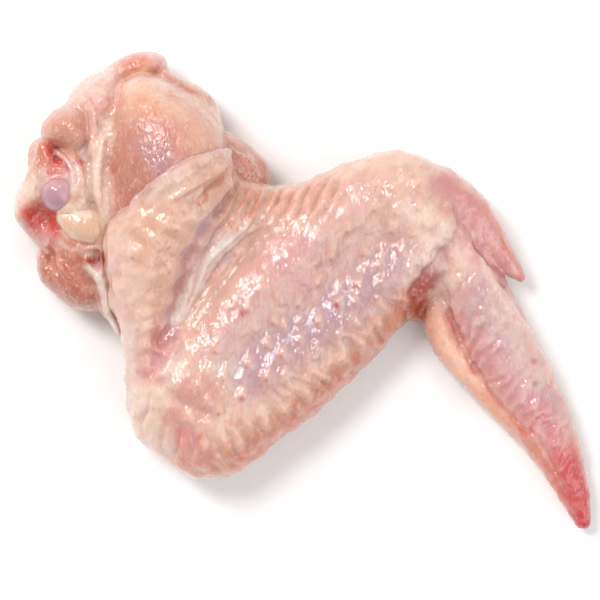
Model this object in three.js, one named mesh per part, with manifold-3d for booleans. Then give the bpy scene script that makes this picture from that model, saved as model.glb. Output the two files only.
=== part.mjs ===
// A raw chicken wing lying on its underside, in millimetres, +Z up, with +X from
// the shoulder to the wing tip. It is four solids: the skin-covered wing, the bare
// shoulder meat with a core that runs on under the skin, the end of the upper arm
// bone, and the pad of fat beside it.
import * as THREE from "three";
import Module from "manifold-3d";

const wasm = await Module();
wasm.setup();

// Driving sizes
const SKIN_STEP = 2.42; // spacing of the lattice that a surface is read from
const MEAT_STEP = 2.4;
const SMALL_STEP = 1.8;
const GAP = 0.32; // clearance between two solids that touch
const EDGE_GAP = 0.7; // clearance along the sharp cut edge of the skin
const SKIN_OVER_MEAT = 0.9; // how far the draped skin stands above the muscle
const EDGE_ROUNDING = 1.2; // how softly the cut edge of the skin turns down
const FLOOR = 0; // height of the surface that the wing lies on
const PROBE = 0.02; // step for reading the slope of a field
const SHORT_EDGE = 0.12; // edges below this length close up
const LATTICE = { low: [-67.3, -56.7, -3.4], high: [67.5, 56.9, 41.2] };
const FAR = 30; // field value away from every lobe
const CELL_KEYS = 24; // numbers set aside for the edges of one cell

// A lobe is a row of stations [x, y, z, half width, half height], and its first
// value is how softly it blends into the lobes before it.
const WING_LOBES = {
  upperArm: [6, [[-29, -20, 11, 8, 10.6], [-33, -10, 12.2, 6.8, 11.6], [-34.2, 0, 13.8, 8.5, 13],
    [-32.6, 10, 15.6, 11.2, 14.8], [-29, 19, 16.6, 13, 15.3], [-26.3, 25.5, 16.8, 11.6, 14.3]]],
  elbow: [6, [[-27, -26, 10.3, 10, 10.4], [-21, -28.6, 10.3, 11, 10.8]]],
  forearmTrailing: [6, [[-18, -26, 10.3, 12, 10.8], [-8, -19, 10.3, 12.2, 11], [4, -10, 10, 11, 10.6],
    [14, -1, 9.4, 9.8, 9.7], [22, 7, 9, 8, 8.8]]],
  forearmLeading: [7, [[-24, -17, 11.5, 7.5, 10], [-14, -5, 11.8, 8.3, 10.5], [-3, 6, 11.6, 9.2, 10.5],
    [8, 16, 10.6, 10, 9.9], [19, 21, 9.8, 9.4, 9.2]]],
  wrist: [5, [[24, 19, 9.6, 9.2, 9], [28.5, 15.5, 9, 6.5, 8.5]]],
  wristLip: [2.5, [[30.5, 18, 10.4, 3.4, 6], [29.3, 12, 10.2, 3.2, 6], [25.5, 5.5, 9.4, 3, 5.6],
    [21.5, -2, 8, 2.8, 5]]],
  hand: [3.5, [[33, 10, 7.4, 7, 7.2], [37.5, 0, 7.4, 7, 6.8], [42.5, -10.5, 6.7, 7.5, 6.2],
    [47.5, -20, 6, 7.2, 5.6], [52.3, -29, 5.2, 6.4, 5], [56.8, -38, 4.5, 4.6, 4.2],
    [59.6, -45, 3.8, 2.9, 3.4], [60.8, -49.6, 3.4, 1.9, 2.6]]],
  trailingFringe: [1, [[28.8, -4, 5.2, 3.4, 4.4], [31.2, -11, 4.8, 3.3, 4.2], [35.6, -17.2, 4.3, 2.9, 3.8],
    [40.9, -23.4, 3.9, 2.5, 3.5], [46.2, -29.2, 3.5, 2.2, 3.2], [51.6, -34.6, 3.1, 1.9, 3],
    [55.9, -41.4, 2.9, 1.5, 2.7], [59.2, -47.8, 2.8, 1.1, 2.2]]],
  thumb: [1.1, [[29.6, 22, 9, 5.3, 7], [35.2, 18.1, 8.6, 4.8, 5.8], [41, 11.3, 7.8, 3.3, 4.4],
    [45, 5.9, 7, 2.1, 3.1], [47.3, 3.1, 6.4, 1.1, 1.8]]],
  web: [5, [[-27, -4, 8.6, 4, 7], [-20, 8, 9.6, 5, 8], [-13, 16, 9.8, 6, 8], [-4, 17, 9, 5, 7]]],
  webEdge: [3, [[-17, 23.5, 12, 3, 6], [-9, 20.6, 10.5, 2.6, 5], [-1, 19.8, 10, 2.6, 4.6],
    [7, 21.3, 10, 3, 5]]],
  crookScrap: [1.5, [[27.5, 2.5, 5.6, 4.4, 5], [23.5, -2.4, 5, 3, 4], [24.3, -4.3, 4.6, 2.4, 3.6]]],
};
const MUSCLE_LOBES = {
  shoulderMuscle: [3, [[-35.4, 19, 15, 6.4, 13.8], [-30.4, 26, 17, 11.4, 16],
    [-29, 29.6, 17.2, 12.6, 16.4], [-31, 35, 16.8, 9.8, 15.6], [-33.8, 40.3, 15.6, 6.7, 13.4]]],
};
const MEAT_LOBES = {
  bed: [4, [[-46, 33, 12, 8, 11], [-50, 22, 11, 7, 10.5], [-48, 10, 10, 7, 9.6], [-42, 4, 9.5, 5, 9]]],
  paleSide: [2, [[-45.4, 30, 13, 3, 10.5], [-44.8, 35.5, 13, 3.4, 11], [-43.2, 40.6, 13.4, 4.6, 11.2]]],
  shoulderTop: [1.5, [[-48.8, 38, 10, 3.4, 9.5], [-45, 42.2, 11, 4.2, 9.8], [-41, 44.6, 11, 3.4, 9]]],
  topFlap: [0.7, [[-43.5, 44.6, 9.5, 1.8, 6.5], [-38.4, 47.6, 10, 2.9, 7.5],
    [-33.7, 48.9, 10.2, 3.1, 7.6], [-31.5, 49.2, 10.2, 2.2, 7]]],
  backStrip: [0.7, [[-30, 46.6, 9.8, 1.9, 7], [-26.6, 44.1, 9.6, 2.1, 7], [-22.8, 42.2, 9.4, 2.1, 6.8],
    [-20.4, 40, 9.2, 2, 6.6], [-19.2, 36.8, 9, 1.7, 6.2]]],
  fatRoll: [0.7, [[-28.8, 43.6, 14.6, 1.2, 5.8], [-26.4, 41.8, 14.8, 1.6, 6.4],
    [-23.2, 40.3, 14.4, 2, 6.8], [-20.6, 38, 13.6, 2.1, 6.8], [-18.7, 35, 12.4, 1.7, 6.2]]],
  backLobe: [0.7, [[-17.5, 29.5, 8.6, 5.4, 8.6], [-14.5, 27, 8, 5.6, 8], [-12, 25.2, 7.4, 5.2, 7]]],
  roundMuscle: [0.5, [[-51.4, 35.2, 15.8, 4.9, 9.8]]],
  farLobe: [0.5, [[-55.1, 29.6, 9.5, 4.2, 9], [-55.3, 26.3, 9.5, 4, 8.5]]],
  leftFlap: [0.9, [[-56.4, 31.6, 15.5, 0.7, 5], [-56.9, 27.4, 15, 1.3, 6.2], [-57.7, 23.6, 14, 2.2, 7],
    [-59, 19.6, 12.8, 2.8, 7.2], [-59.8, 16.8, 11.6, 2.4, 6.6]]],
  flapRoot: [1.5, [[-55, 25, 11.5, 2.4, 8], [-56.4, 20.6, 11, 2.6, 7.6]]],
  redBed: [1.5, [[-57, 15.4, 8.4, 4, 7.4], [-53, 11.6, 8.4, 4.2, 7.8]]],
  padFold: [0.6, [[-52.4, 13.6, 13.5, 1.4, 5.5], [-50.2, 11, 14, 1.6, 6], [-46.4, 9.4, 14.4, 1.6, 6],
    [-42.4, 9.3, 14.8, 1.4, 5.5]]],
  lowerLobe: [0.8, [[-50.8, 4.4, 8.8, 5, 9.2], [-47.6, 1.4, 8.4, 5.4, 8.8], [-43.6, -0.9, 8, 3.2, 7.6]]],
  lowerRim: [0.6, [[-55.7, 7.5, 8.2, 1.8, 7.4], [-54.8, 3.6, 7.8, 2.2, 7.2], [-51.4, 0.7, 7.6, 2.3, 7]]],
  creamFold: [0.8, [[-42, 33.6, 20.5, 1, 5], [-43, 29, 20.5, 1.8, 6.4], [-43.6, 24, 19.6, 2.4, 6.8],
    [-43.2, 19.4, 18.6, 2, 6.2], [-42, 15.4, 17.6, 1, 5]]],
  neck: [0.9, [[-49.3, 30.2, 16.5, 1.3, 5.5], [-47.6, 26, 16.5, 1.8, 6], [-47.4, 20.8, 16, 2.4, 6.3]]],
  tendon: [0.8, [[-46.4, 7, 15, 1, 5], [-43.4, 2, 13.6, 1.5, 5.5], [-41.6, -4, 12, 1.2, 5.5],
    [-39.6, -8.5, 11, 0.7, 4.5]]],
};
// The meat that goes on inside the skin.
const CORE_LOBES = {
  core: [4, [[-45, 22, 13, 7, 10], [-38, 22, 14, 8, 10], [-33, 14, 14.5, 6, 8.5], [-33.4, 5, 13.6, 4, 6.5]]],
};
const BONE_LOBES = {
  ball: [0.5, [[-52.4, 21.6, 19.3, 3.8, 5.2]]],
  marrowEnd: [1.6, [[-52.6, 26.4, 17.4, 2.6, 4.2]]],
  shaft: [1.5, [[-51, 23.2, 15.5, 2.7, 3.2], [-38, 21, 14, 2.5, 2.8]]],
};
const FAT_LOBES = {
  pad: [0.5, [[-49.2, 15.4, 16, 1.9, 4.8], [-46.6, 14.2, 16.8, 3.5, 5.8], [-44.2, 13.4, 17, 2.6, 5.5]]],
};
// Where the skin was cut, seen from above. The skin lies to the right of this line.
const CUT_EDGE = [[2, 46], [-14, 31], [-20, 30], [-24, 28.6], [-28, 26.4], [-33, 22.6], [-37, 18.6],
  [-41, 15.6], [-42.3, 13], [-42.3, 5], [-41.4, -2], [-39, -8], [-38, -15], [-60, -40]];

// Rough distance from a point to the flattened cone between two stations.
function coneDistance(x, y, z, a, b) {
  const runX = b[0] - a[0];
  const runY = b[1] - a[1];
  const length2 = runX * runX + runY * runY;
  const along = length2 > 0 ? ((x - a[0]) * runX + (y - a[1]) * runY) / length2 : 0;
  const t = Math.min(Math.max(along, 0), 1);
  const wide = a[3] + t * (b[3] - a[3]);
  const high = a[4] + t * (b[4] - a[4]);
  const across2 = (x - a[0] - t * runX) ** 2 + (y - a[1] - t * runY) ** 2;
  const up2 = (z - a[2] - t * (b[2] - a[2])) ** 2;
  const ratio = Math.sqrt(across2 / wide ** 2 + up2 / high ** 2);
  const slope = Math.sqrt(across2 / wide ** 4 + up2 / high ** 4);
  return (ratio * (ratio - 1)) / Math.max(slope, 1e-6);
}

function smoothMin(a, b, softness) {
  const h = Math.max(softness - Math.abs(a - b), 0) / softness;
  return Math.min(a, b) - (h * h * softness) / 4;
}

function smoothMax(a, b, softness) {
  return -smoothMin(-a, -b, softness);
}

// The field of a group of lobes: below zero inside, and in millimetres.
function lobeField(lobes) {
  const rows = Object.values(lobes);
  return (x, y, z) => {
    let field = FAR;
    for (const [softness, stations] of rows) {
      let lobe = coneDistance(x, y, z, stations[0], stations[0]);
      for (let i = 1; i < stations.length; i += 1) {
        lobe = Math.min(lobe, coneDistance(x, y, z, stations[i - 1], stations[i]));
      }
      field = smoothMin(field, lobe, softness);
    }
    return field;
  };
}

// Signed distance in plan to the cut edge: below zero on the side of the skin.
function cutSide(x, y) {
  let nearest = Infinity;
  let side = 0;
  for (let i = 1; i < CUT_EDGE.length; i += 1) {
    const [startX, startY] = CUT_EDGE[i - 1];
    const runX = CUT_EDGE[i][0] - startX;
    const runY = CUT_EDGE[i][1] - startY;
    const along = ((x - startX) * runX + (y - startY) * runY) / (runX * runX + runY * runY);
    const t = Math.min(Math.max(along, 0), 1);
    const offX = x - startX - t * runX;
    const offY = y - startY - t * runY;
    const distance = Math.hypot(offX, offY);
    if (distance < nearest - 1e-9) {
      nearest = distance;
      side = runX * offY - runY * offX;
    }
  }
  return side > 0 ? -nearest : nearest;
}

const wingLobes = lobeField(WING_LOBES);
const muscle = lobeField(MUSCLE_LOBES);
const bareLobes = lobeField({ ...MUSCLE_LOBES, ...MEAT_LOBES });
const core = lobeField(CORE_LOBES);
const bone = lobeField(BONE_LOBES);
const fat = lobeField(FAT_LOBES);

function skinField(x, y, z) {
  const draped = muscle(x, y, z) - SKIN_OVER_MEAT;
  const whole = smoothMin(wingLobes(x, y, z), draped, EDGE_ROUNDING);
  return smoothMax(whole, cutSide(x, y), EDGE_ROUNDING);
}

const grown = (field, by) => (x, y, z) => field(x, y, z) - by;
const onFloor = (field) => (x, y, z) => Math.max(field(x, y, z), FLOOR - z);

function slope(field, x, y, z) {
  return new THREE.Vector3(
    field(x + PROBE, y, z) - field(x - PROBE, y, z),
    field(x, y + PROBE, z) - field(x, y - PROBE, z),
    field(x, y, z + PROBE) - field(x, y, z - PROBE),
  ).divideScalar(2 * PROBE);
}

// Reads a closed surface off a lattice: each sheet of surface in a cell has one
// vertex, and each lattice edge that the surface crosses has a square round it.
function surfaceOf(field, step) {
  const { low, high } = LATTICE;
  const count = low.map((value, axis) => Math.ceil((high[axis] - value) / step) + 1);
  const stride = [1, count[0], count[0] * count[1]];
  const values = new Float64Array(count[0] * count[1] * count[2]);
  const eachPoint = (first, short, visit) => {
    for (let k = first; k < count[2] - short; k += 1) {
      for (let j = first; j < count[1] - short; j += 1) {
        for (let i = first; i < count[0] - short; i += 1) {
          visit(i + j * stride[1] + k * stride[2], i, j, k);
        }
      }
    }
  };
  eachPoint(0, 0, (at, i, j, k) => {
    values[at] = field(low[0] + i * step, low[1] + j * step, low[2] + k * step);
  });
  const vertices = [];
  const vertexOf = new Map();
  eachPoint(0, 1, (at, i, j, k) => {
    for (const sheet of sheetsIn(values, at, stride)) {
      const vertex = sheet.centre.add(new THREE.Vector3(i, j, k)).multiplyScalar(step);
      vertex.add(new THREE.Vector3(...low));
      settle(field, vertex, step);
      sheet.edges.forEach((edge) => vertexOf.set(at * CELL_KEYS + edge, vertices.length));
      vertices.push(vertex);
    }
  });
  const faces = [];
  eachPoint(1, 1, (at) => {
    [0, 1, 2].forEach((axis) => addSquare(faces, values, vertexOf, vertices, at, axis, stride));
  });
  return { vertices, faces };
}

// A cell's edge is numbered by its low corner, whose bits are x, y and z, and its axis.
const edgeNumber = (corner, axis) => corner * 3 + axis;

// The sheets of surface in a cell: the crossed edges that its faces join, and the
// mean of the points where they are crossed, in cell units.
function sheetsIn(values, at, stride) {
  const corners = [0, 1, 2, 3, 4, 5, 6, 7].map((corner) => {
    const [right, back, up] = [corner & 1, (corner >> 1) & 1, corner >> 2];
    return values[at + right + back * stride[1] + up * stride[2]];
  });
  const insideCount = corners.filter((value) => value < 0).length;
  if (insideCount === 0 || insideCount === 8) return [];
  const sheetOf = new Map();
  const crossings = new Map();
  for (let corner = 0; corner < 8; corner += 1) {
    for (let axis = 0; axis < 3; axis += 1) {
      const other = corner | (1 << axis);
      if (other === corner || corners[corner] < 0 === corners[other] < 0) continue;
      const point = new THREE.Vector3(corner & 1, (corner >> 1) & 1, corner >> 2);
      point.setComponent(axis, corners[corner] / (corners[corner] - corners[other]));
      crossings.set(edgeNumber(corner, axis), point);
      sheetOf.set(edgeNumber(corner, axis), edgeNumber(corner, axis));
    }
  }
  const join = (a, b) => {
    const [from, to] = [sheetOf.get(a), sheetOf.get(b)];
    sheetOf.forEach((sheet, edge) => sheet === from && sheetOf.set(edge, to));
  };
  for (let axis = 0; axis < 3; axis += 1) {
    for (const side of [0, 1 << axis]) joinOnFace(axis, side, corners, join);
  }
  return [...new Set(sheetOf.values())].map((sheet) => {
    const edges = [...sheetOf.keys()].filter((edge) => sheetOf.get(edge) === sheet);
    const centre = new THREE.Vector3();
    edges.forEach((edge) => centre.add(crossings.get(edge)));
    return { edges, centre: centre.divideScalar(edges.length) };
  });
}

// Joins the crossed edges of one face of a cell: all of them where there are two,
// and where there are four, the two beside each corner that is inside.
function joinOnFace(axis, side, corners, join) {
  const [u, v] = [(axis + 1) % 3, (axis + 2) % 3];
  const ring = [side, side | (1 << u), side | (1 << u) | (1 << v), side | (1 << v)];
  const edges = [[ring[0], u], [ring[1], v], [ring[3], u], [ring[0], v]]
    .map(([corner, along]) => edgeNumber(corner, along));
  const inside = ring.map((corner) => corners[corner] < 0);
  const crossed = edges.filter((edge, index) => inside[index] !== inside[(index + 1) % 4]);
  if (crossed.length === 2) join(crossed[0], crossed[1]);
  if (crossed.length < 4) return;
  ring.forEach((corner, index) => inside[index] && join(edges[(index + 3) % 4], edges[index]));
}

// Moves a vertex onto the true surface, by less than half a cell.
function settle(field, vertex, step) {
  const start = vertex.clone();
  for (let round = 0; round < 3; round += 1) {
    const value = field(vertex.x, vertex.y, vertex.z);
    const direction = slope(field, vertex.x, vertex.y, vertex.z);
    const steepness = Math.max(direction.lengthSq(), 0.25);
    vertex.addScaledVector(direction, -value / steepness);
  }
  const moved = vertex.clone().sub(start).clampLength(0, step * 0.4);
  vertex.copy(start).add(moved);
}

function addSquare(faces, values, vertexOf, vertices, at, axis, stride) {
  const inside = values[at] < 0;
  if (inside === values[at + stride[axis]] < 0) return;
  const [u, v] = [(axis + 1) % 3, (axis + 2) % 3];
  const ring = [[1, 1], [0, 1], [0, 0], [1, 0]].map(([backU, backV]) => {
    const cell = at - backU * stride[u] - backV * stride[v];
    const corner = (backU << u) | (backV << v);
    return vertexOf.get(cell * CELL_KEYS + edgeNumber(corner, axis));
  });
  if (!inside) ring.reverse();
  const [a, b, c, d] = ring;
  if (vertices[a].distanceTo(vertices[c]) < vertices[b].distanceTo(vertices[d])) {
    faces.push([a, b, c], [a, c, d]);
  } else {
    faces.push([a, b, d], [b, c, d]);
  }
}

function solidOf(field, step) {
  const { vertices, faces } = surfaceOf(field, step);
  const mesh = new wasm.Mesh({
    numProp: 3,
    vertProperties: new Float32Array(vertices.flatMap((vertex) => vertex.toArray())),
    triVerts: new Uint32Array(faces.flat()),
  });
  return new wasm.Manifold(mesh);
}

// The main body of a solid that a cut has left in pieces; loose scraps go.
function largest(solid) {
  return solid.decompose().reduce((best, piece) => (piece.volume() > best.volume() ? piece : best));
}

// Closes up the slivers that a cut leaves, by drawing each very short edge to a point.
function withoutSlivers(positions, triangles) {
  const corner = (index) => new THREE.Vector3().fromArray(positions, 3 * index);
  const goesTo = Array.from({ length: positions.length / 3 }, (_, index) => index);
  const last = (index) => (goesTo[index] === index ? index : last(goesTo[index]));
  for (let at = 0; at < triangles.length; at += 3) {
    for (let side = 0; side < 3; side += 1) {
      const a = triangles[at + side];
      const b = triangles[at + ((side + 1) % 3)];
      const short = corner(a).distanceTo(corner(b)) < SHORT_EDGE;
      if (short) goesTo[Math.max(last(a), last(b))] = Math.min(last(a), last(b));
    }
  }
  const kept = [];
  for (let at = 0; at < triangles.length; at += 3) {
    const [a, b, c] = [0, 1, 2].map((side) => last(triangles[at + side]));
    if (a !== b && b !== c && c !== a) kept.push(a, b, c);
  }
  return kept;
}

function named(name, solid, { color, roughness }) {
  const { numProp, vertProperties, triVerts } = solid.getMesh();
  const geometry = new THREE.BufferGeometry();
  geometry.setAttribute("position", new THREE.BufferAttribute(new Float32Array(vertProperties), numProp));
  geometry.setIndex(withoutSlivers(vertProperties, triVerts));
  geometry.computeVertexNormals();
  const material = new THREE.MeshStandardMaterial({ color, roughness, metalness: 0 });
  const mesh = new THREE.Mesh(geometry, material);
  mesh.name = name;
  return mesh;
}

// The skin-covered wing, hollow where the core of meat runs on inside it.
function sleeveField(x, y, z) {
  return Math.max(skinField(x, y, z), EDGE_GAP - core(x, y, z));
}

// The bare meat up to the skin's cut edge, and the core.
function meatField(x, y, z) {
  return Math.min(Math.max(bareLobes(x, y, z), EDGE_GAP - skinField(x, y, z)), core(x, y, z));
}

function padField(x, y, z) {
  return Math.max(fat(x, y, z), EDGE_GAP - skinField(x, y, z), GAP - bone(x, y, z));
}

function wingSkin() {
  return largest(solidOf(onFloor(sleeveField), SKIN_STEP));
}

function shoulderMeat() {
  const boneRoom = solidOf(grown(bone, GAP), SMALL_STEP);
  const fatRoom = solidOf(grown(padField, GAP), SMALL_STEP);
  return largest(solidOf(onFloor(meatField), MEAT_STEP).subtract(boneRoom).subtract(fatRoom));
}

function humerusHead() {
  return solidOf(bone, SMALL_STEP);
}

function fatPad() {
  return largest(solidOf(padField, SMALL_STEP));
}

const wing = new THREE.Group();
wing.add(named("wing_skin", wingSkin(), { color: 0xe3bfae, roughness: 0.42 }));
wing.add(named("shoulder_meat", shoulderMeat(), { color: 0xcf8673, roughness: 0.38 }));
wing.add(named("humerus_head", humerusHead(), { color: 0xc0a3b8, roughness: 0.3 }));
wing.add(named("fat_pad", fatPad(), { color: 0xe0c39d, roughness: 0.4 }));

export default wing;
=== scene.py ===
"""A raw chicken wing on a pale floor: bumpy wet skin, bare shoulder meat, cartilage and fat.

Every form is a row of rounded lobes whose fields blend into one another. A surface is
read off that field on a fine lattice, carved and raised by named strokes and bumps, and
painted point by point from a small palette. Sizes are millimetres until a mesh is made.
Seen from above, x runs to the right and y up, and z is the height over the floor.
"""
import math

import bpy
import numpy as np
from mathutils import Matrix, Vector


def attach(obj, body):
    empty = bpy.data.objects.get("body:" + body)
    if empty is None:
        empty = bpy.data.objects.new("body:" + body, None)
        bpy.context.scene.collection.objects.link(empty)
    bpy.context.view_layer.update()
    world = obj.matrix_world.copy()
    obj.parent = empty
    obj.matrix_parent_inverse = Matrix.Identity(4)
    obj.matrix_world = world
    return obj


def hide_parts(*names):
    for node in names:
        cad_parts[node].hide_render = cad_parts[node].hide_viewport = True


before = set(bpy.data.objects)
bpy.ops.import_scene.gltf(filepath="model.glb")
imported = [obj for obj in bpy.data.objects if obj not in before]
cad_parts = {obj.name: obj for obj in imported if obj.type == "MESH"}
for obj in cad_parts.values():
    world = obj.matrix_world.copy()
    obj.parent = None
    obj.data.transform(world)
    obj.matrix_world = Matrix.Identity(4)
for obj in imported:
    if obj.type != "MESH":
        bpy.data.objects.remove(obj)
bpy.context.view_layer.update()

# ---- driving sizes
MM = 0.001
SKIN_STEP, MEAT_STEP, SMALL_STEP = 0.46, 0.42, 0.3  # lattice spacings of the surfaces
SKIN_OVER_MEAT = 0.9  # how far the draped skin stands above the muscle
DRAPE_SOFTNESS = 1.2  # how softly the draped skin joins the rest
EDGE_ROUNDING = 0.9  # how softly the cut edge of the skin turns down
TUCKED_UNDER = 2.5  # how far the meat goes on under the skin
FAR = 30.0  # field value away from every lobe
REACH = 3.0  # how far round a lobe its field is worked out
CLOSE = 4.0  # how near the meat's surface the skin is cut out of it
BLOCK = 4  # lattice cells in the blocks that a surface is looked for in
BLOCKS_AT_ONCE = 3000
SUBSTATIONS = 3  # a curve's stations for each given one
SMOOTHINGS = 2  # rounds of smoothing after a surface is read off
FLOOR_GAP = 0.02  # how far the lowest points stay above the floor
# The corners of the boxes that hold each piece
SKIN_BOX = (-66.0, -55.0, -1.6), (66.0, 55.0, 38.0)
MEAT_BOX = (-66, -12, -1.6), (0, 55, 38)
BONE_BOX = (-60, 12, 4), (-34, 32, 30)
FAT_BOX = (-56, 2, 2), (-36, 26, 34)


# ---- tables
def table(text):
    """Rows of a name, numbers and points from lines such as "fold 0.5 0.9: -16.8 19.6, -19.4 15.8".

    A line that is set in goes on from the one before, and one with a # is a remark.
    """
    rows = []
    for line in text.strip().replace("\n    ", " ").splitlines():
        if not line.startswith("#"):
            head, places = line.split(":")
            name, *numbers = head.split()
            points = [tuple(map(float, place.split())) for place in places.split(",")]
            rows.append((name, *map(float, numbers), points))
    return rows


def named(text):
    """The same rows, each under its name."""
    return {name: row for name, *row in table(text)}


# ---- forms
# A lobe is its softness and stations, and a station is x y z, half width, half height.
WING_LOBES = named("""
upper_arm 6: -29 -20 11 8 10.6, -33 -10 12.2 6.8 11.6, -34.2 0 13.8 8.5 13, -32.6 10 15.6 11.2 14.8,
    -29 19 16.6 13 15.3, -26.3 25.5 16.8 11.6 14.3
elbow 6: -27 -26 10.3 10 10.4, -21 -28.6 10.3 11 10.8
forearm_trailing 6: -18 -26 10.3 12 10.8, -8 -19 10.3 12.2 11, 4 -10 10 11 10.6, 14 -1 9.4 9.8 9.7,
    22 7 9 8 8.8
forearm_leading 7: -24 -17 11.5 7.5 10, -14 -5 11.8 8.3 10.5, -3 6 11.6 9.2 10.5, 8 16 10.6 10 9.9,
    19 21 9.8 9.4 9.2
wrist 5: 24 19 9.6 9.2 9, 28.5 15.5 9 6.5 8.5
wrist_lip 2.5: 30.5 18 10.4 3.4 6, 29.3 12 10.2 3.2 6, 25.5 5.5 9.4 3 5.6, 21.5 -2 8 2.8 5
hand 3.5: 33 10 7.4 7 7.2, 37.5 0 7.4 7 6.8, 42.5 -10.5 6.7 7.5 6.2, 47.5 -20 6 7.2 5.6, 52.3 -29 5.2 6.4 5,
    56.8 -38 4.5 4.6 4.2, 59.6 -45 3.8 2.9 3.4, 60.8 -49.6 3.4 1.9 2.6
trailing_fringe 1: 28.8 -4 5.2 3.4 4.4, 31.2 -11 4.8 3.3 4.2, 35.6 -17.2 4.3 2.9 3.8,
    40.9 -23.4 3.9 2.5 3.5, 46.2 -29.2 3.5 2.2 3.2, 51.6 -34.6 3.1 1.9 3, 55.9 -41.4 2.9 1.5 2.7,
    59.2 -47.8 2.8 1.1 2.2
thumb 1.1: 29.6 22 9 5.3 7, 35.2 18.1 8.6 4.8 5.8, 41 11.3 7.8 3.3 4.4, 45 5.9 7 2.1 3.1,
    47.3 3.1 6.4 1.1 1.8
web 5: -27 -4 9 4 8.8, -20 8 11 5 10, -13 16 11 6 9.4, -4 17 9.8 5 8
web_slope 4: -24.4 14 12.4 4 10.6, -26.4 5 11.2 3.6 9.8
web_edge 3: -17 23.5 12 3 6, -9 20.6 10.5 2.6 5, -1 19.8 10 2.6 4.6, 7 21.3 10 3 5
crook_scrap 1.5: 27.5 2.5 5.6 4.4 5, 23.5 -2.4 5 3 4, 24.3 -4.3 4.6 2.4 3.6
""")
MUSCLE_LOBES = named("""
shoulder_muscle 3: -35.4 19 15 6.4 13.8, -30.4 26 17 11.4 16, -29 29.6 17.2 12.6 16.4, -31 35 16.8 9.8 15.6,
    -33.8 40.3 15.6 6.7 13.4
""")
MEAT_LOBES = named("""
bed 4: -45.6 33 10.5 7.6 9.6, -50 22 11 7 10.5, -48 10 10 7 9.6, -42 4 9.5 5 9
pad_bed 1.5: -50.2 17.6 13.8 3 8.2, -47 15.6 13.6 4.4 8, -43.4 14 13.6 3 8
edge_bed 1.5: -43.4 13 14.6 2.4 7.2, -43.4 8 13.8 2.2 6.8, -43 2 13 2 6.8, -41.8 -4 12 1.6 6.4
muscle_root 2: -40.6 38 14 2.2 9, -41 30 15 2.4 9, -41.2 20 15.2 2.4 8.8, -41.4 15 14.6 1.6 8
pale_side 2: -44.9 30 13 2.4 10.5, -44.4 35.5 13 2.8 11, -43 40.6 13.4 4.4 11.2
shoulder_top 1.5: -48.8 38 10 3.4 9.5, -45 42.2 11 4.2 9.8, -41 44.6 11 3.4 9
top_flap 0.7: -43.5 44.6 9.5 1.8 6.5, -38.4 47.6 10 2.9 7.5, -33.7 48.9 10.2 3.1 7.6, -31.5 49.2 10.2 2.2 7
back_strip 0.7: -30 46.6 9.8 1.9 7, -26.6 44.1 9.6 2.1 7, -22.8 42.2 9.4 2.1 6.8, -20.4 40 9.2 2 6.6,
    -19.2 36.8 9 1.7 6.2
fat_roll 0.7: -28.8 43.6 14.6 1.2 5.8, -26.4 41.8 14.8 1.6 6.4, -23.2 40.3 14.4 2 6.8,
    -20.6 38 13.6 2.1 6.8, -18.7 35 12.4 1.7 6.2
back_lobe 0.7: -17.5 29.5 8.6 5.4 8.6, -14.5 27 8 5.6 8, -12 25.2 7.4 5.2 7
round_muscle 0.5: -52.4 34.6 15 3.8 9, -50.2 35.4 15.8 4.7 9.8, -48.8 33.6 15.6 3.6 9.9
far_lobe 0.5: -55.1 29.6 9.5 4.2 9, -55.3 26.3 9.5 4 8.5
left_flap 0.9: -56.4 31.6 15.5 0.7 5, -56.9 27.4 15 1.3 6.2, -57.7 23.6 14 2.2 7, -59 19.6 12.8 2.8 7.2,
    -59.8 16.8 11.6 2.4 6.6
flap_root 1.5: -55 25 12.2 2.4 8, -56.4 20.6 12 2.6 7.8
triangle_bed 0.8: -55.4 31.2 13.4 1.7 8, -54.8 28.6 13.6 2.5 8.2, -55.4 25 13.4 2.1 8.2
marrow_bed 0.6: -53.4 26.6 15.4 1.9 6, -52 26.8 15.6 1.9 6
red_bed 1.5: -57 15.4 8.4 4 7.4, -53 11.6 8.4 4.2 7.8
pad_fold 0.6: -52.4 13.6 13.5 1.4 5.5, -50.2 11 14 1.6 6, -46.4 9.4 14.4 1.6 6, -42.4 9.3 14.8 1.4 5.5
lower_lobe 0.8: -50.8 4.4 8.8 5 9.2, -47.6 1.4 8.4 5.4 8.8, -43.6 -0.9 8 3.2 7.6
lower_rim 0.6: -55.7 7.5 8.2 1.8 7.4, -54.8 3.6 7.8 2.2 7.2, -51.4 0.7 7.6 2.3 7
cream_fold 0.8: -42.2 33.6 19.2 0.9 5, -43.2 29 19.3 1.7 6.3, -43.7 24 18.8 2 6.6, -43.2 19.4 18.2 1.7 6,
    -42.2 15 17.2 0.8 5
neck 1.5: -49.3 30.2 16.8 1.3 5.5, -47.4 26 17 1.9 6.2, -47.2 20.8 16.8 2.5 6.6, -47 18 15.6 2.6 6.4
cuff 0.6: -52.6 29.9 16.8 0.8 4.8, -50.4 28.2 17.6 1.1 5.2, -49 25 17.9 1.4 5.7, -48.6 21 17.8 1.7 5.5,
    -50.2 17.4 16.8 1.6 5
veil 0.8: -55 23 16.4 1.3 5, -53.2 24.6 17.2 1.5 5.2, -50.6 24.6 17.2 1.6 5.2
tendon 0.8: -46.4 7 15 1 5, -43.4 2 13.6 1.5 5.5, -41.6 -4 12 1.2 5.5, -39.6 -8.5 11 0.7 4.5
""")
BONE_LOBES = named("""
ball 0.5: -52.2 21.2 18.2 4.2 5.2
shaft 1.5: -51 23.2 15.5 2.7 3.2, -46 22 14.7 2.6 3
""")
FAT_LOBES = named("""
pad 0.5: -50.2 15.8 17.4 2.8 4.4, -47.4 14.8 18.2 4.4 4.6, -44.8 13.6 18 3.8 4.6
""")
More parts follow.
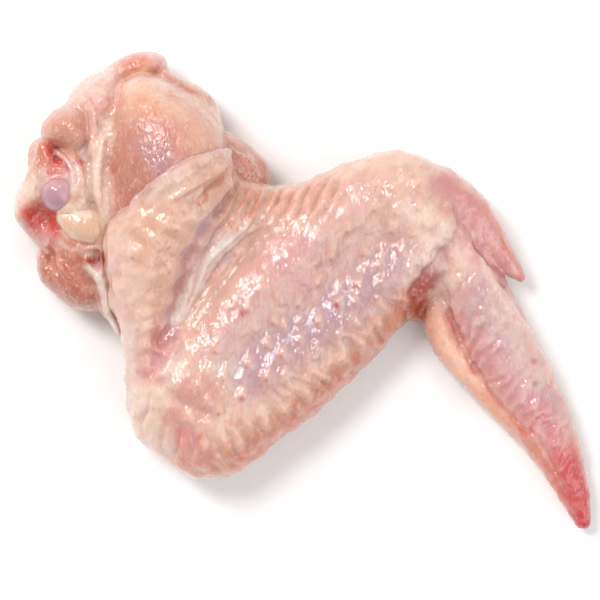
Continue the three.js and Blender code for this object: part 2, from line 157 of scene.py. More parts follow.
# Where the skin was cut, seen from above. The skin lies to the right of this line.
CUT_EDGE = [(2, 46), (-14, 31), (-20, 30), (-24, 28.6), (-28, 26.4), (-33, 22.6), (-37, 18.6), (-41, 15.6),
            (-42.3, 13), (-42.3, 5), (-41.4, -2), (-39, -8), (-38, -15), (-60, -40)]


# ---- fields
def curved(stations):
    """More stations between the given ones, on a smooth curve through them all."""
    rows = np.array(stations, dtype=np.float32)
    if len(rows) < 3:
        return rows
    padded = np.vstack([2 * rows[0] - rows[1], rows, 2 * rows[-1] - rows[-2]])
    out = []
    for before, here, there, after in zip(padded, padded[1:], padded[2:], padded[3:]):
        square = 2 * before - 5 * here + 4 * there - after
        cube = 3 * here - before - 3 * there + after
        for t in np.arange(SUBSTATIONS) / SUBSTATIONS:
            out.append(0.5 * (2 * here + (there - before) * t + square * t**2 + cube * t**3))
    return np.vstack([out, rows[-1]]).astype(np.float32)


def cone_distance(points, a, b):
    """Rough distance from points to the flattened cone between two stations."""
    run = b[:2] - a[:2]
    length2 = float(run @ run)
    off = points[:, :2] - a[:2]
    t = np.clip(off @ run / length2, 0, 1) if length2 > 0 else np.zeros(len(points), np.float32)
    wide = a[3] + t * (b[3] - a[3])
    high = a[4] + t * (b[4] - a[4])
    across2 = (off[:, 0] - t * run[0]) ** 2 + (off[:, 1] - t * run[1]) ** 2
    up2 = (points[:, 2] - a[2] - t * (b[2] - a[2])) ** 2
    ratio = np.sqrt(across2 / wide**2 + up2 / high**2)
    slope = np.sqrt(across2 / wide**4 + up2 / high**4)
    return ratio * (ratio - 1) / np.maximum(slope, 1e-6)


def within(points, low, high):
    """The numbers of the points that lie in a box, seen from above."""
    x, y = points[:, 0], points[:, 1]
    return np.flatnonzero((x > low[0]) & (x < high[0]) & (y > low[1]) & (y < high[1]))


def smooth_min(a, b, softness):
    h = np.maximum(softness - np.abs(a - b), 0) / softness
    return np.minimum(a, b) - h * h * softness / 4


def smooth_max(a, b, softness):
    return -smooth_min(-a, -b, softness)


def lobe_field(points, lobes):
    """The blended field of a group of lobes, below zero inside."""
    field = np.full(len(points), FAR, np.float32)
    for softness, stations in lobes.values():
        rows = curved(stations)
        pairs = list(zip(rows, rows[1:])) or [(rows[0], rows[0])]
        lobe = np.full(len(points), FAR, np.float32)
        for a, b in pairs:
            reach = max(a[3], b[3]) + softness + REACH
            near = within(points, np.minimum(a, b)[:2] - reach, np.maximum(a, b)[:2] + reach)
            if len(near):
                lobe[near] = np.minimum(lobe[near], cone_distance(points[near], a, b))
        touched = np.flatnonzero(lobe < FAR)
        field[touched] = smooth_min(field[touched], lobe[touched], softness)
    return field


def cut_side(points):
    """Signed distance in plan to the skin's cut edge, below zero on the skin's side."""
    nearest = np.full(len(points), 1e9, np.float32)
    side = np.zeros(len(points), np.float32)
    edge = np.array(CUT_EDGE, np.float32)
    for start, end in zip(edge, edge[1:]):
        run = end - start
        off = points[:, :2] - start
        t = np.clip(off @ run / (run @ run), 0, 1)
        gap = off - t[:, None] * run
        distance = np.hypot(gap[:, 0], gap[:, 1])
        closer = distance < nearest - 1e-6
        nearest = np.where(closer, distance, nearest)
        side = np.where(closer, run[0] * gap[:, 1] - run[1] * gap[:, 0], side)
    return np.where(side > 0, -nearest, nearest)


def skin_field(points):
    draped = lobe_field(points, MUSCLE_LOBES) - SKIN_OVER_MEAT
    whole = smooth_min(lobe_field(points, WING_LOBES), draped, DRAPE_SOFTNESS)
    trimmed = smooth_max(whole, cut_side(points), EDGE_ROUNDING)
    return np.maximum(trimmed, -points[:, 2])


def meat_field(points):
    bare = lobe_field(points, {**MUSCLE_LOBES, **MEAT_LOBES})
    field = np.maximum(bare, -points[:, 2])
    near = np.flatnonzero(bare < CLOSE)
    field[near] = np.maximum(field[near], -skin_field(points[near]) - TUCKED_UNDER)
    return field


def bone_field(points):
    return lobe_field(points, BONE_LOBES)


def fat_field(points):
    return lobe_field(points, FAT_LOBES)


# ---- surfaces
def lattice_values(field, low, count, step):
    """The field on a lattice, worked out only in the blocks near its surface."""
    axes = [low[axis] + np.arange(count[axis] // BLOCK + 1) * step * BLOCK for axis in range(3)]
    grid = np.stack(np.meshgrid(*axes, indexing="ij"), -1).reshape(-1, 3).astype(np.float32)
    coarse = field(grid).reshape([len(axis) for axis in axes])
    cuts = [(slice(0, -1), slice(1, None))[bit] for bit in (0, 1)]
    corners = [coarse[a, b, c] for a in cuts for b in cuts for c in cuts]
    least, most = np.minimum.reduce(corners), np.maximum.reduce(corners)
    margin = step * BLOCK * 1.5
    values = least
    for axis in range(3):
        values = np.repeat(values, BLOCK, axis)
    blocks = np.argwhere((least < margin) & (most > -margin))
    inside = np.stack(np.meshgrid(*[np.arange(BLOCK)] * 3, indexing="ij"), -1).reshape(-1, 3)
    for some in np.array_split(blocks, max(1, len(blocks) // BLOCKS_AT_ONCE)):
        at = (some[:, None] * BLOCK + inside[None]).reshape(-1, 3)
        values[at[:, 0], at[:, 1], at[:, 2]] = field((low + at * step).astype(np.float32))
    return values


def surface(field, step, low, high):
    """Points and squares of the surface where a field is zero, between two corners."""
    low = np.array(low)
    count = (np.ceil((np.array(high) - low) / (step * BLOCK)) * BLOCK).astype(int)
    values = lattice_values(field, low, count, step)
    inside = values < 0
    cells = np.array(values.shape) - 1
    corner_bits = [(a, b, c) for a in (0, 1) for b in (0, 1) for c in (0, 1)]

    def shifted(array, bits):
        return array[bits[0]:bits[0] + cells[0], bits[1]:bits[1] + cells[1], bits[2]:bits[2] + cells[2]]

    filled = sum(shifted(inside, bits).astype(np.int8) for bits in corner_bits)
    crossed = np.argwhere((filled > 0) & (filled < 8))
    number = np.full(cells, -1, np.int64)
    number[tuple(crossed.T)] = np.arange(len(crossed))
    total = np.zeros((len(crossed), 3))
    hits = np.zeros(len(crossed))
    for bits in corner_bits:
        for axis in range(3):
            if bits[axis]:
                continue
            far = list(bits)
            far[axis] = 1
            a = values[tuple((crossed + bits).T)]
            b = values[tuple((crossed + far).T)]
            cut = (a < 0) != (b < 0)
            point = np.tile(np.array(bits, float), (len(crossed), 1))
            point[:, axis] = np.where(cut, a / np.where(cut, a - b, 1), 0)
            total += point * cut[:, None]
            hits += cut
    points = low + step * (crossed + total / hits[:, None])
    return points, squares_between(inside, cells, number)


def squares_between(inside, cells, number):
    """A square round each lattice edge that the surface crosses, facing outward."""
    squares = []
    for axis in range(3):
        u, v = (axis + 1) % 3, (axis + 2) % 3
        near = [slice(1, cells[other]) for other in range(3)]
        near[axis] = slice(0, cells[axis])
        far = list(near)
        far[axis] = slice(1, cells[axis] + 1)
        edges = np.argwhere(inside[tuple(near)] != inside[tuple(far)])
        outward = inside[tuple(near)][tuple(edges.T)]
        edges[:, u] += 1
        edges[:, v] += 1
        ring = []
        for back_u, back_v in ((1, 1), (0, 1), (0, 0), (1, 0)):
            cell = edges.copy()
            cell[:, u] -= back_u
            cell[:, v] -= back_v
            ring.append(number[tuple(cell.T)])
        square = np.stack(ring, 1)
        square[~outward] = square[~outward][:, ::-1]
        squares.append(square)
    return np.concatenate(squares)


def normals_of(points, squares):
    across = points[squares[:, 2]] - points[squares[:, 0]]
    along = points[squares[:, 3]] - points[squares[:, 1]]
    face = np.cross(across, along)
    total = np.zeros_like(points)
    for corner in range(4):
        np.add.at(total, squares[:, corner], face)
    return total / np.maximum(np.linalg.norm(total, axis=1, keepdims=True), 1e-9)


def smoothed(points, squares):
    """Each point drawn half way to the mean of its neighbours, a few times."""
    pairs = np.concatenate([squares[:, [side, (side + 1) % 4]] for side in range(4)])
    ends = np.concatenate([pairs[:, 0], pairs[:, 1]])
    others = np.concatenate([pairs[:, 1], pairs[:, 0]])
    degree = np.bincount(ends, minlength=len(points))[:, None]
    for _ in range(SMOOTHINGS):
        total = np.stack([np.bincount(ends, points[others, axis], len(points)) for axis in range(3)], 1)
        points = points + 0.5 * (total / degree - points)
    return points


# ---- relief
# A stroke is its depth, width and points: a groove where its depth is above zero, a ridge
# where it is below. Points are x y seen from above.
SKIN_STROKES = named("""
web_groove 0.5 0.9: -16.8 19.6, -19.4 15.8, -21.4 12.4, -23.6 8, -25.2 3.6, -26.6 -1, -28.2 -6
web_valley 0.6 0.4: -15.6 16, -17.8 13.4, -20.3 9.1, -22.1 4.7, -23.9 -0.3, -26 -5.4
web_ridge -0.9 0.8: -13 13.6, -16.4 10.5, -19.2 8.3, -21 5.5, -22.6 1.9, -24.4 -1.6, -26.6 -6
web_groove_inner 0.4 0.45: -9 13.8, -14.9 9.1, -17.8 5.8, -20 2.2, -21.9 -1, -24.6 -5
flat_edge -0.5 1: -3 17.6, -9 12.6, -13.4 8, -18.2 2.3, -22.7 -4, -25 -8.4
fan_a -1 0.8: -16.4 27, -20.6 24.4, -25 21.3, -28.6 18.8
fan_gap_a 1 0.45: -16.6 24.8, -19.6 22.4, -22 19.4
fan_b -0.9 0.7: -14.6 24.9, -17.8 20.2, -20.3 17, -22.3 14.4
fan_gap_b 0.6 0.4: -14 22.8, -16.6 18.8, -19 15
fan_c -0.8 0.6: -12.8 23.6, -14.9 20.4, -17.1 16.3, -19.2 13.7
fan_d -0.8 0.6: -10.8 23, -12 19.8, -14.2 16.3, -16.4 13.2
fan_e -0.8 0.6: -8.4 22.2, -9.5 18.8, -11.3 15.5, -13.8 12.6
fan_f -0.7 0.6: -5.8 21, -7 17.6, -8.8 15, -11 12.8
elbow_pit 2.2 2.8: -29.6 -8, -30.6 -12, -32 -17
elbow_pit_slit 1.3 0.8: -27.6 -6.5, -28.8 -9, -29.6 -11.6
elbow_pit_low 1 0.8: -31.4 -14.5, -32.4 -17, -33.6 -19
elbow_pit_rim -0.8 1: -26 -8, -27 -12, -29.4 -16.4, -31.4 -20
elbow_pit_bar -0.7 0.7: -33.2 -11, -31.2 -12.4, -29 -12.2
elbow_fold 0.4 0.9: -30.2 -19.6, -26.2 -23.4, -21.8 -25.3, -17.6 -27
elbow_fold_roll -0.7 2.6: -28.6 -17.4, -24.6 -20.6, -20.4 -22.8, -16.4 -24.6
elbow_crease_a 0.5 0.6: -29.4 -25.6, -29.6 -29, -30.4 -33
elbow_crease_b 0.5 0.6: -26.4 -28.6, -26.4 -32, -27.6 -36
elbow_crease_c 0.5 0.6: -23.6 -29.4, -23.2 -33, -24.2 -37
elbow_crease_d 0.45 0.6: -20.6 -31, -19.6 -34, -19.4 -37.4
elbow_crease_e 0.5 0.6: -33 -22.4, -33.2 -25, -34.2 -28
wrist_fold 0.45 0.8: 33.6 17, 33.3 12.2, 30.8 8.9, 28.4 6.9
wrist_fold_low 0.9 0.7: 29.6 7.6, 27.1 4.6, 25.1 2, 22.7 -0.9
wrist_rib_a -0.4 1: 22.6 12, 20 6, 17.4 1
wrist_rib_b -0.4 1: 26.4 14, 24.2 8, 21.6 2
wrist_rib_c -0.4 1: 16 11, 13.4 4.4, 12.4 -2
thumb_crease 0.35 0.8: 32 20, 35 14.4, 38 9.6
thumb_crease_low 1.1 0.8: 36.6 11.6, 39.4 8, 42.6 4.9
fringe_line 0.5 0.45: 31 0.6, 31.5 -2.6, 33.4 -8.4, 36.2 -14.6, 40.3 -21, 45.9 -27.6, 50.3 -31, 53.9 -37,
    57.7 -44
hand_edge -0.5 1: 38.6 7, 41 2.4, 43.9 -1.7, 47.9 -7.4, 51.6 -13.6, 54.4 -20
hand_side 0.4 1: 41.6 4.6, 44.6 0, 48 -5, 52 -11
hand_fold_a 0.6 0.6: 31.6 -2, 34 1.4, 37 4.6
hand_fold_b 0.6 0.6: 33.4 -8, 36 -5.6, 38.6 -1.6
hand_fold_c 0.5 0.6: 35.4 -12.6, 37.6 -9.6, 40 -4.4
hand_fold_d 0.5 0.6: 38 -17.6, 40 -13.6, 42.4 -8
""")
# The hand's smooth trailing fringe
FRINGE = [(29, -5), (31.4, -11.4), (35.8, -18), (41, -24.4), (46.4, -30.2), (51.8, -35.8)]
# Pleats slant down from the web's free edge.
PLEAT_BAND = [(-4.4, 19), (0, 18.6), (5, 20.4)]
PLEAT_ACROSS = np.array((0.866, -0.5))
PLEAT_SPACING, PLEAT_BAND_WIDTH = 2.4, 3.8
FINGER_SPACING, RIDGE_SPACING = 3.2, 2.7
# Heights of the relief that runs all over a part
PLEAT_DEPTH, FINGERS, EDGE_LUMPS = 0.55, 0.24, 0.28
HAND_RIDGES, HAND_LUMPS, CUT_EDGE_FOLDS = 0.27, 0.1, 0.3
UNEVENNESS, WRINKLES, LUMPS = 0.3, 0.12, 0.13
SWELLS, MORE_ON_ARM = 0.12, 0.22
MEAT_LUMPS, MEAT_GRAIN, BALL_LUMPS, PAD_LUMPS = 0.25, 0.07, 0.07, 0.15
# Follicle bumps: the named ones stand out, the others lie at random between them.
NAMED_BUMP, LEAST_BUMP, BUMP_RANGE, PORE_SHARE = 0.72, 0.25, 0.3, 0.2
BUMP_CLEARANCE, FLAT_SPACING, OTHER_SPACING = 3.4, 4.6, 5.2
MOST_TRIES = 60000
MEAT_STROKES = named("""
muscle_side 0.35 0.4: -41.4 30, -41.3 26, -41.2 20, -41 16
fold_split 0.3 0.6: -45.8 28, -46 24, -45.2 19.6, -44 16
hollow 2.4 1.9: -45.4 6.9, -43 6.8
red_pit 1.5 1.9: -56.6 16, -52.8 15.2
lower_split_a 0.7 0.5: -54.4 9.6, -53.4 5, -51 1.2
lower_split_b 0.5 0.5: -51.6 8.4, -50 4.4, -46.6 0.4
lower_ridge -0.5 0.9: -53 9, -51.6 5, -48.6 1.4
small_hole 1 0.7: -48.2 28.8, -47.9 27.2
marrow_pit 0.5 0.8: -53.6 26.6, -51.6 27
membrane_wrinkle_a 0.35 0.5: -47 43, -44 38, -42.6 33
membrane_wrinkle_b 0.3 0.5: -45.6 33.6, -46.8 29.4, -46.4 25
strip_streak -0.4 0.5: -15.4 30.4, -11.4 28, -8.6 25
""")
FLAT_START, FLAT_END = np.array((-28.0, -28.0)), np.array((27.0, 18.0))  # elbow and wrist
HAND_START, HAND_END = np.array((33.0, 10.0)), np.array((60.8, -50.0))
ARM_START, ARM_END = np.array((-30.0, -22.0)), np.array((-27.0, 28.0))


def along_and_across(points, start, end):
    """Places along a limb's line, in mm from its start, and to its left."""
    run = (end - start) / np.linalg.norm(end - start)
    off = points[:, :2] - start
    return off @ run, off @ np.array((-run[1], run[0]))


def smoothstep(value, low, high):
    t = np.clip((value - low) / (high - low), 0, 1)
    return t * t * (3 - 2 * t)


def drawn_line(path):
    """A path's points with more between them, on a curve where it has three or more."""
    return curved(np.array(path, np.float32))


def stroke_weight(points, path, width):
    """1 on a stroke's line, fading over its width and towards its ends."""
    line = drawn_line(path)
    lengths = np.linalg.norm(np.diff(line, axis=0), axis=1)
    starts = np.concatenate([[0], np.cumsum(lengths)])
    weight = np.zeros(len(points))
    near = within(points, line.min(0) - 3 * width, line.max(0) + 3 * width)
    best = np.full(len(near), 1e9)
    place = np.zeros(len(near))
    for start, end, length, before in zip(line, line[1:], lengths, starts):
        off = points[near, :2] - start
        t = np.clip(off @ (end - start) / max(length**2, 1e-9), 0, 1)
        distance = np.linalg.norm(off - t[:, None] * (end - start), axis=1)
        closer = distance < best
        best = np.where(closer, distance, best)
        place = np.where(closer, before + t * length, place)
    fade = min(2.5, starts[-1] * 0.3)
    ends = np.clip(np.minimum(place, starts[-1] - place) / fade, 0, 1)
    weight[near] = np.exp(-((best / width) ** 2)) * (0.25 + 0.75 * ends)
    return weight


# Noise is worked out on a lattice turned away from every limb.
NOISE_TURN = np.array(((0.36, 0.48, -0.8), (-0.8, 0.6, 0.0), (0.48, 0.64, 0.6)))


def noise(points, size, seed):
    """Smooth noise, mostly from -1 to 1, whose lumps have about the given size."""
    place = points @ NOISE_TURN / size + 31.7 * (seed + 1)
    cell = np.floor(place).astype(np.int64)
    part = place - cell
    ease = part**3 * (part * (part * 6 - 15) + 10)
    total = np.zeros(len(points))
    for corner in ((a, b, c) for a in (0, 1) for b in (0, 1) for c in (0, 1)):
        # each corner's slope comes from its place, scrambled
        at = cell + corner
        mixed = at[:, 0] * 73856093 ^ at[:, 1] * 19349663 ^ at[:, 2] * 83492791
        mixed = (mixed ^ (mixed >> 13)) * 1274126177
        mixed = mixed ^ (mixed >> 16)
        slopes = ((mixed[:, None] >> np.array((0, 6, 12))) & 63) / 31.5 - 1
        share = np.where(np.array(corner), ease, 1 - ease).prod(1)
        total += ((part - corner) * slopes).sum(1) * share
    return 2.2 * total


def fractal(points, size, seed, octaves=3):
    return sum(noise(points, size / 2**n, seed + n) / 2**n for n in range(octaves)) / 1.75


def spread_on(points, spacing, allowed, seed):
    """Points of a surface picked at random, none nearer to another than the spacing."""
    order = np.random.default_rng(seed).permutation(np.flatnonzero(allowed))
    cells = {}
    picked = []
    beside = (-1, 0, 1)
    for index in order[:MOST_TRIES]:
        point = points[index]
        key = tuple((point // spacing).astype(int))
        around = [(key[0] + a, key[1] + b, key[2] + c) for a in beside for b in beside for c in beside]
        others = [cells[cell] for cell in around if cell in cells]
        if all(np.sum((point - other) ** 2) > spacing**2 for group in others for other in group):
            cells.setdefault(key, []).append(point)
            picked.append(index)
    return np.array(picked)


# Follicles that stand out on the flat and the drumette, seen from above.
FOLLICLES = [
    (-19, -13), (-17, -19), (-18, -26.2), (-13, -22.8), (-12, -16), (-8, -12), (-4.5, -14), (-7.7, -19),
    (-3.5, -19), (-6.5, -7), (-4.5, -8), (-1, -11), (3, -7), (7.3, -3), (11.3, 0.8), (8, -15), (12, -11.5),
    (15.5, -7.5), (4.5, -19), (0.5, -22.5), (-4, -26), (-13.8, -33), (-8.5, -29.5), (-8.5, 4.5), (9.5, 12.5),
    (16, 5), (-12, -4), (3, 1.6), (-1, -3), (6, 7), (13, 8), (19, 12.6), (-27, 13), (-28.6, 4), (-32, -2),
    (-36, 7),
]
# Red follicles, and places that other looks depend on
RED_FOLLICLES = [(-13, -22.8), (7.3, -3), (11.3, 0.8), (4.5, -19), (50, -20), (50, -15), (-13, -4.6)]
TIP = [(57, -38), (61, -50)]
CROOK = [(27, 3), (24.6, -4)]
RED_POCKET = [(-57.6, 15.6), (-52.6, 15)]
BALL_TOP = -53.4, 20
BUMP_WAY = 0.3, 0.954  # a bump's long way, from its pore
BUMP_TURN = np.array((BUMP_WAY, (-BUMP_WAY[1], BUMP_WAY[0])))


def facing_up(normals):
    """1 where a surface faces up, 0 where it is steep or faces down."""
    return np.clip(normals[:, 2] / 0.4, 0, 1)


class Skin:
    """The skin's points, where each lies on the wing, and its follicles."""

    def __init__(self, points, squares):
        self.points = points
        self.normals = normals_of(points, squares)
        self.up = facing_up(self.normals)
        self.flat_along, self.flat_across = along_and_across(points, FLAT_START, FLAT_END)
        self.hand_along = along_and_across(points, HAND_START, HAND_END)[0]
        self.arm_along, self.arm_across = along_and_across(points, ARM_START, ARM_END)
        self.cut = cut_side(points)
        # shares of the hand, of the drumette and of the flat between them
        x, y = points[:, 0], points[:, 1]
        self.on_hand = smoothstep(x - 0.35 * y, 26, 31) * smoothstep(self.hand_along, -12, 2)
        self.on_arm = smoothstep(-(x + 0.55 * y), 13, 19) * smoothstep(y, -17, -5)
        self.on_flat = np.clip(1 - self.on_hand - self.on_arm, 0, 1)
        top = np.flatnonzero(self.normals[:, 2] > 0.2)
        self.named = [top[np.argmin(((points[top, :2] - spot) ** 2).sum(1))] for spot in FOLLICLES]
        clear = np.ones(len(points), bool)
        for index in self.named:
            clear &= ((points - points[index]) ** 2).sum(1) > BUMP_CLEARANCE**2
        clear &= points[:, 2] > 0.6
        dense = clear & (self.on_flat > 0.5)
        sparse = clear & (self.on_flat <= 0.5)
        self.others = np.concatenate([spread_on(points, FLAT_SPACING, dense, 5),
                                      spread_on(points, OTHER_SPACING, sparse, 6)])

    def bumps(self):
        """Height of the follicle bumps, how near each point is to a bump and to a pore."""
        height = np.zeros(len(self.points))
        nearness = np.zeros(len(self.points))
        pore = np.zeros(len(self.points))
        draw = np.random.default_rng(11)
        for order, index in enumerate([*self.named, *self.others]):
            centre = self.points[index]
            named = order < len(self.named)
            size = 1.0 if named else 0.75 + 0.35 * draw.random()
            tall = NAMED_BUMP if named else LEAST_BUMP + BUMP_RANGE * draw.random()
            tall *= 0.45 + 0.55 * self.on_flat[index]
            near = np.flatnonzero((np.abs(self.points - centre) < 5).all(1))
            off = self.points[near] - centre
            flat = off[:, :2] @ BUMP_TURN.T
            along, across = flat[:, 0] - 0.9 * size, flat[:, 1]
            long_way = np.where(along > 0, 2.1, 1.35) * size
            away2 = (along / long_way) ** 2 + (across / (1.15 * size)) ** 2 + (off[:, 2] / 2.4) ** 2
            bump = np.exp(-(away2**1.2))
            hole = np.exp(-((off**2).sum(1)) / (0.38 * size) ** 2)
            height[near] += tall * bump - PORE_SHARE * tall * hole
            nearness[near] = np.maximum(nearness[near], bump * (1.0 if named else 0.6))
            pore[near] = np.maximum(pore[near], hole * (1.0 if named else 0.5))
        return height, nearness, pore


def limb_wrinkles(points, along, across, size, seed):
    """Fine wrinkles that run across a limb."""
    stretched = np.stack([along / size, across / (size * 3.2), points[:, 2] / (size * 3.2)], 1)
    return fractal(stretched, 1.0, seed)


def carved(points, up, strokes):
    """Height that strokes add, and how near each point is to a groove."""
    height = np.zeros(len(points))
    grooves = np.zeros(len(points))
    for depth, width, path in strokes.values():
        weight = stroke_weight(points, path, width) * up
        height -= depth * weight
        if depth > 0:
            grooves = np.maximum(grooves, weight)
    return height, grooves


def skin_relief(skin):
    """Height in mm to add along each point's normal, and the masks that the paint needs."""
    points = skin.points
    height, grooves = carved(points, skin.up, SKIN_STROKES)
    phase = points[:, :2] @ PLEAT_ACROSS / PLEAT_SPACING + 0.22 * noise(points, 5, 2)
    wave = np.abs(np.sin(math.pi * phase)) * 2 - 1
    pleated = brushed(points, PLEAT_BAND, PLEAT_BAND_WIDTH) * skin.up
    height += PLEAT_DEPTH * pleated * wave
    pleats = pleated * np.clip(-wave, 0, 1)
    bump_height, bumps, pores = skin.bumps()
    height += bump_height
    # finger-like folds across the trailing edge of the flat
    out = -skin.flat_across
    edge = skin.on_flat * smoothstep(out, 8, 15)
    height += EDGE_LUMPS * edge * noise(points, 4.2, 5)
    place = skin.flat_along / FINGER_SPACING + 0.55 * noise(points, 8, 3)
    fingers = np.abs(np.cos(math.pi * place)) * 2 - 1
    ragged = smoothstep(out + 2.5 * noise(points, 4, 9), 6, 9) * (1 - smoothstep(out, 15, 18))
    fingers = fingers * skin.on_flat * ragged * skin.up
    height += FINGERS * fingers
    # slanting ridges over the hand, and scallops in its fringe
    slant = points[:, 0] * 0.8 - points[:, 1] * 0.6 + 1.5 * noise(points, 5, 4)
    hand = skin.on_hand * skin.up
    ridges = np.cos(2 * math.pi * slant / RIDGE_SPACING) * hand * (0.75 + 0.45 * noise(points, 6, 7))
    ridges *= smoothstep(skin.hand_along, 8, 20) * (1 - 0.6 * smoothstep(skin.hand_along, 46, 60))
    ridges *= brushed(points, SKIN_STROKES["fringe_line"][2], 8.5) * (1 - brushed(points, FRINGE, 2.6))
    height += HAND_RIDGES * ridges
    height += HAND_LUMPS * skin.on_hand * noise(points, 3.2, 8)
    # folds that run beside the cut edge of the skin
    drawn = skin.on_arm * smoothstep(skin.cut, -11, -2) * skin.up
    beside = np.stack([skin.cut / 1.3, points[:, 1] / 5, points[:, 2] / 5], 1)
    folds = fractal(beside, 1.0, 55, 2)
    height += CUT_EDGE_FOLDS * drawn * folds
    # the whole skin is a little uneven and finely wrinkled, each part its own way
    height += UNEVENNESS * fractal(points, 7, 20)
    lead = smoothstep(skin.flat_across, 3, 7)
    fibres = np.stack([points[:, 0] - 0.12 * points[:, 1], points[:, 1], points[:, 2]], 1)
    fine = fractal(fibres / (1.3, 4.5, 4.5), 1.0, 30, 2) * (1 - lead) * skin.on_flat
    fine += limb_wrinkles(points, skin.flat_across, skin.flat_along, 1.3, 33) * lead * skin.on_flat
    fine += 0.25 * limb_wrinkles(points, skin.arm_along, skin.arm_across, 1.5, 40) * skin.on_arm
    fine += 0.6 * limb_wrinkles(points, slant, points[:, 1], 1.3, 50) * skin.on_hand
    lumps = fractal(points, 2.6, 60, 2)
    smooth = 1 - 0.75 * brushed(points, FRINGE, 3)
    fine, lumps = fine * smooth, lumps * smooth
    swells = smooth * noise(points, 3.6, 65)
    height += WRINKLES * fine + LUMPS * lumps + (SWELLS + MORE_ON_ARM * skin.on_arm) * swells
    crest = (0.6 * fine + 0.6 * lumps + (0.4 + 0.5 * skin.on_arm) * swells
             + 0.6 * drawn * folds + 0.3 * fingers + 0.9 * ridges)
    return height, {"grooves": grooves, "pleats": pleats, "bumps": bumps, "pores": pores, "crest": crest}


def meat_relief(points, normals):
    height, grooves = carved(points, facing_up(normals), MEAT_STROKES)
    return height + MEAT_LUMPS * fractal(points, 6, 70) + MEAT_GRAIN * noise(points, 1.4, 75), grooves


# ---- colours
DEPTH, RICHNESS = 0.815, 1.185  # turn a colour as seen in bright light into the flesh's own
COLOURS = {  # as seen on a screen, 0 to 255
    "peach": (245, 209, 188), "tan": (236, 188, 162), "cream": (252, 227, 212), "ivory": (244, 230, 220),
    "blush": (240, 194, 188), "rose": (226, 158, 156), "mauve": (208, 160, 160), "lilac": (202, 172, 186),
    "violet": (190, 160, 184), "orange": (222, 148, 110), "salmon": (228, 144, 122), "coral": (232, 112, 96),
    "red": (214, 22, 10), "crimson": (196, 70, 84), "brown": (184, 72, 0), "tip": (224, 90, 94),
    "pink": (240, 172, 180), "fat": (238, 202, 174), "glow": (255, 204, 178), "muscle": (204, 130, 106),
    "membrane": (244, 192, 164), "flesh": (226, 168, 146), "pore": (214, 140, 96), "white": (250, 240, 234),
    "ball": (204, 160, 174), "ball_pale": (214, 176, 182),
}
